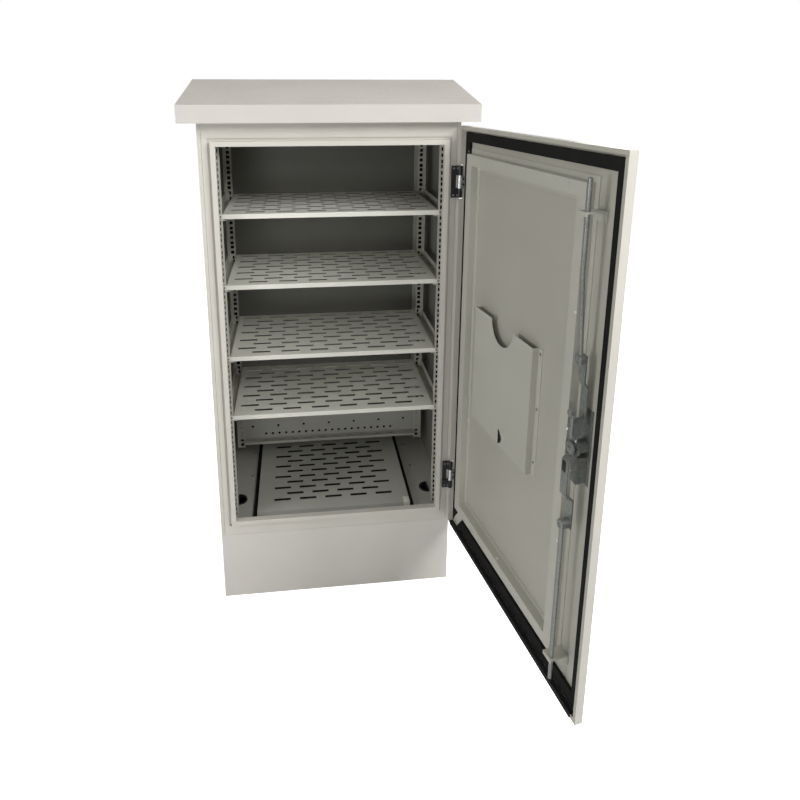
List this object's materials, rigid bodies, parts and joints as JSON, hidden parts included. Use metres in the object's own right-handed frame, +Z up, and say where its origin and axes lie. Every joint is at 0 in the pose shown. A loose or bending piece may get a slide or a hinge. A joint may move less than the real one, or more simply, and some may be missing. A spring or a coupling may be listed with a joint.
{
  "type": "roadside utility cabinet",
  "caption": "Free-standing sheet steel roadside cabinet on a plinth, gable roof, slotted shelves on rack rails, open door with a rod lock.",
  "frame": {"origin": "on the ground at the centre of the plinth's four anchor holes", "axes": "+Z up, +Y to the back, +X to the right seen from the front; the door side faces -Y"},
  "size_m": [0.8082, 1.2021, 1.427],
  "materials": {
    "body_coat": "light grey powder coat, fine texture",
    "roof_coat": "pale warm grey powder coat, fine texture",
    "plinth_coat": "light grey powder coat, fine texture",
    "inner_coat": "light grey powder coat, satin",
    "zinc_plate": "zinc plated",
    "black_coat": "black, satin",
    "black_handle": "black moulded, matt",
    "rubber_seal": "black rubber",
    "foam_seal": "black foamed seal"
  },
  "bodies": {
    "cabinet": {"back_panel": "body_coat", "cable_bar": "inner_coat", "cable_grommet_left": "rubber_seal", "cable_grommet_right": "rubber_seal", "floor_pan": "inner_coat", "floor_tray": "inner_coat", "frame_bottom": "body_coat", "frame_left": "body_coat", "frame_right": "body_coat", "frame_top": "body_coat", "hinge_lower_frame_leaf": "black_coat", "hinge_pins": "zinc_plate", "hinge_upper_frame_leaf": "black_coat", "plinth_back": "plinth_coat", "plinth_front": "plinth_coat", "plinth_left": "plinth_coat", "plinth_right": "plinth_coat", "rail_brace_left": "inner_coat", "rail_brace_right": "inner_coat", "rail_front_left": "inner_coat", "rail_front_right": "inner_coat", "rail_rear_left": "inner_coat", "rail_rear_right": "inner_coat", "roof_bolts": "zinc_plate", "roof_bracket_left": "zinc_plate", "roof_bracket_right": "zinc_plate", "roof_cover": "roof_coat", "shelf_1": "inner_coat", "shelf_1_brackets": "inner_coat", "shelf_2": "inner_coat", "shelf_2_brackets": "inner_coat", "shelf_3": "inner_coat", "shelf_3_brackets": "inner_coat", "shelf_4": "inner_coat", "shelf_4_brackets": "inner_coat", "side_panel_left": "body_coat", "side_panel_right": "body_coat", "top_plate": "body_coat"},
    "door": {"bottom_rod_guide": "inner_coat", "corner_tab": "inner_coat", "document_pocket": "inner_coat", "door_drip_seal": "rubber_seal", "door_gasket": "foam_seal", "door_pan": "body_coat", "handle_base": "black_handle", "hinge_lower_door_leaf": "zinc_plate", "hinge_upper_door_leaf": "zinc_plate", "lock_case": "zinc_plate", "stiffener_bottom": "inner_coat", "stiffener_hinge_side": "inner_coat", "stiffener_lock_side": "inner_coat", "stiffener_top": "inner_coat", "top_rod_guide": "inner_coat"},
    "lock_turn_body": {"lever_pin": "zinc_plate", "lock_cam": "zinc_plate", "lock_hub": "black_handle"},
    "lever": {"handle_lever": "black_handle"},
    "upper_rod": {"top_rod": "zinc_plate"},
    "lower_rod": {"bottom_rod": "zinc_plate"},
    "key": {"key_barrel": "zinc_plate"}
  },
  "joints": [
    {"name": "door_hinge", "type": "hinge", "parent": "cabinet", "child": "door", "pos_m": [0.32, -0.2713, 0.762], "axis": [0, 0, 1], "range_deg": [-99.4, 20]},
    {"name": "lock_turn", "type": "hinge", "parent": "door", "child": "lock_turn_body", "pos_m": [0.4077, -0.83961, 0.77], "axis": [-0.9866, -0.1633, 0], "range_deg": [0, 90]},
    {"name": "upper_rod_slide", "type": "slide", "parent": "door", "child": "upper_rod", "axis": [0, 0, 1], "range_m": [0, 0.014]},
    {"name": "lower_rod_slide", "type": "slide", "parent": "door", "child": "lower_rod", "axis": [0, 0, -1], "range_m": [0, 0.014]},
    {"name": "lever_lift", "type": "hinge", "parent": "lock_turn_body", "child": "lever", "pos_m": [0.43993, -0.81876, 0.77], "axis": [0, 0, -1], "range_deg": [0, 35]},
    {"name": "key_turn", "type": "hinge", "parent": "door", "child": "key", "pos_m": [0.4077, -0.83961, 0.725], "axis": [-0.9866, -0.1633, 0], "range_deg": [0, 90]}
  ],
  "couplings": [
    {"joint": "upper_rod_slide", "follows": "lock_turn", "m_per_rad": 0.0089127},
    {"joint": "lower_rod_slide", "follows": "lock_turn", "m_per_rad": 0.0089127}
  ]
}
